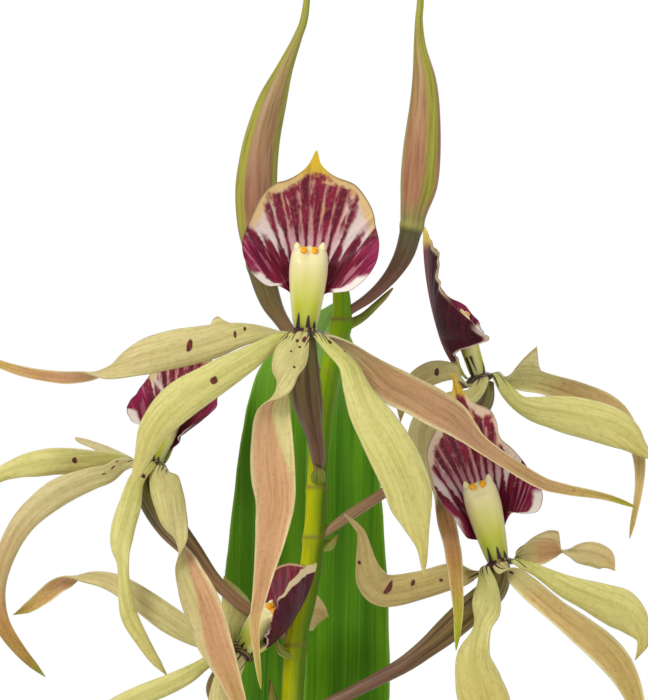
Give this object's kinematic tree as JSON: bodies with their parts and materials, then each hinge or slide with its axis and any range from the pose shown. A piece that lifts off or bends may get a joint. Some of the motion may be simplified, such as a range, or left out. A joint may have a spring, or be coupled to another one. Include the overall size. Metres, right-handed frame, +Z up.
{
  "type": "potted plant",
  "caption": "Potted octopussy cockleshell orchid with dark striped shells uppermost over long pale green and salmon twisted petals, strap leaves and pseudobulbs in a clay pot.",
  "frame": {"origin": "middle of the pot's base, on the ground", "axes": "+Z up along the plant, the blooms look towards -Y"},
  "size_m": [0.2693, 0.2012, 0.461],
  "materials": {
    "pot": "matte fired clay",
    "bark": "rough bark",
    "rhizome": "papery",
    "pseudobulb": "satin",
    "leaf": "semi gloss",
    "stalk": "satin",
    "bud": "satin",
    "lip": "waxy",
    "column": "waxy",
    "ovary": "satin",
    "sepal": "soft satin",
    "petal": "soft satin"
  },
  "bodies": {
    "root": {"pot": "pot", "bark": "bark", "rhizome_and_roots": "rhizome", "pseudobulb_flowering": "pseudobulb", "pseudobulb_second": "pseudobulb", "pseudobulb_third": "pseudobulb", "pseudobulb_young": "pseudobulb", "leaf_tall": "leaf", "leaf_front_left": "leaf", "leaf_second_right": "leaf", "leaf_second_back": "leaf", "leaf_third_front": "leaf", "leaf_third_back": "leaf", "leaf_young": "leaf", "flower_stalk": "stalk", "bud_left": "bud", "bud_right": "bud", "bloom_top_lip": "lip", "bloom_top_column": "column", "bloom_top_ovary": "ovary", "bloom_top_sepal_left": "sepal", "bloom_top_petal_left": "petal", "bloom_top_sepal_middle": "sepal", "bloom_top_petal_right": "petal", "bloom_top_sepal_right": "sepal", "bloom_right_lip": "lip", "bloom_right_column": "column", "bloom_right_ovary": "ovary", "bloom_right_sepal_left": "sepal", "bloom_right_petal_left": "petal", "bloom_right_sepal_middle": "sepal", "bloom_right_petal_right": "petal", "bloom_right_sepal_right": "sepal", "bloom_rear_lip": "lip", "bloom_rear_column": "column", "bloom_rear_ovary": "ovary", "bloom_rear_sepal_left": "sepal", "bloom_rear_petal_left": "petal", "bloom_rear_sepal_middle": "sepal", "bloom_rear_petal_right": "petal", "bloom_rear_sepal_right": "sepal", "bloom_left_lip": "lip", "bloom_left_column": "column", "bloom_left_ovary": "ovary", "bloom_left_sepal_left": "sepal", "bloom_left_petal_left": "petal", "bloom_left_sepal_middle": "sepal", "bloom_left_petal_right": "petal", "bloom_left_sepal_right": "sepal", "bloom_low_lip": "lip", "bloom_low_column": "column", "bloom_low_ovary": "ovary", "bloom_low_sepal_left": "sepal", "bloom_low_petal_left": "petal", "bloom_low_sepal_middle": "sepal", "bloom_low_petal_right": "petal", "bloom_low_sepal_right": "sepal"}
  },
  "joints": []
}
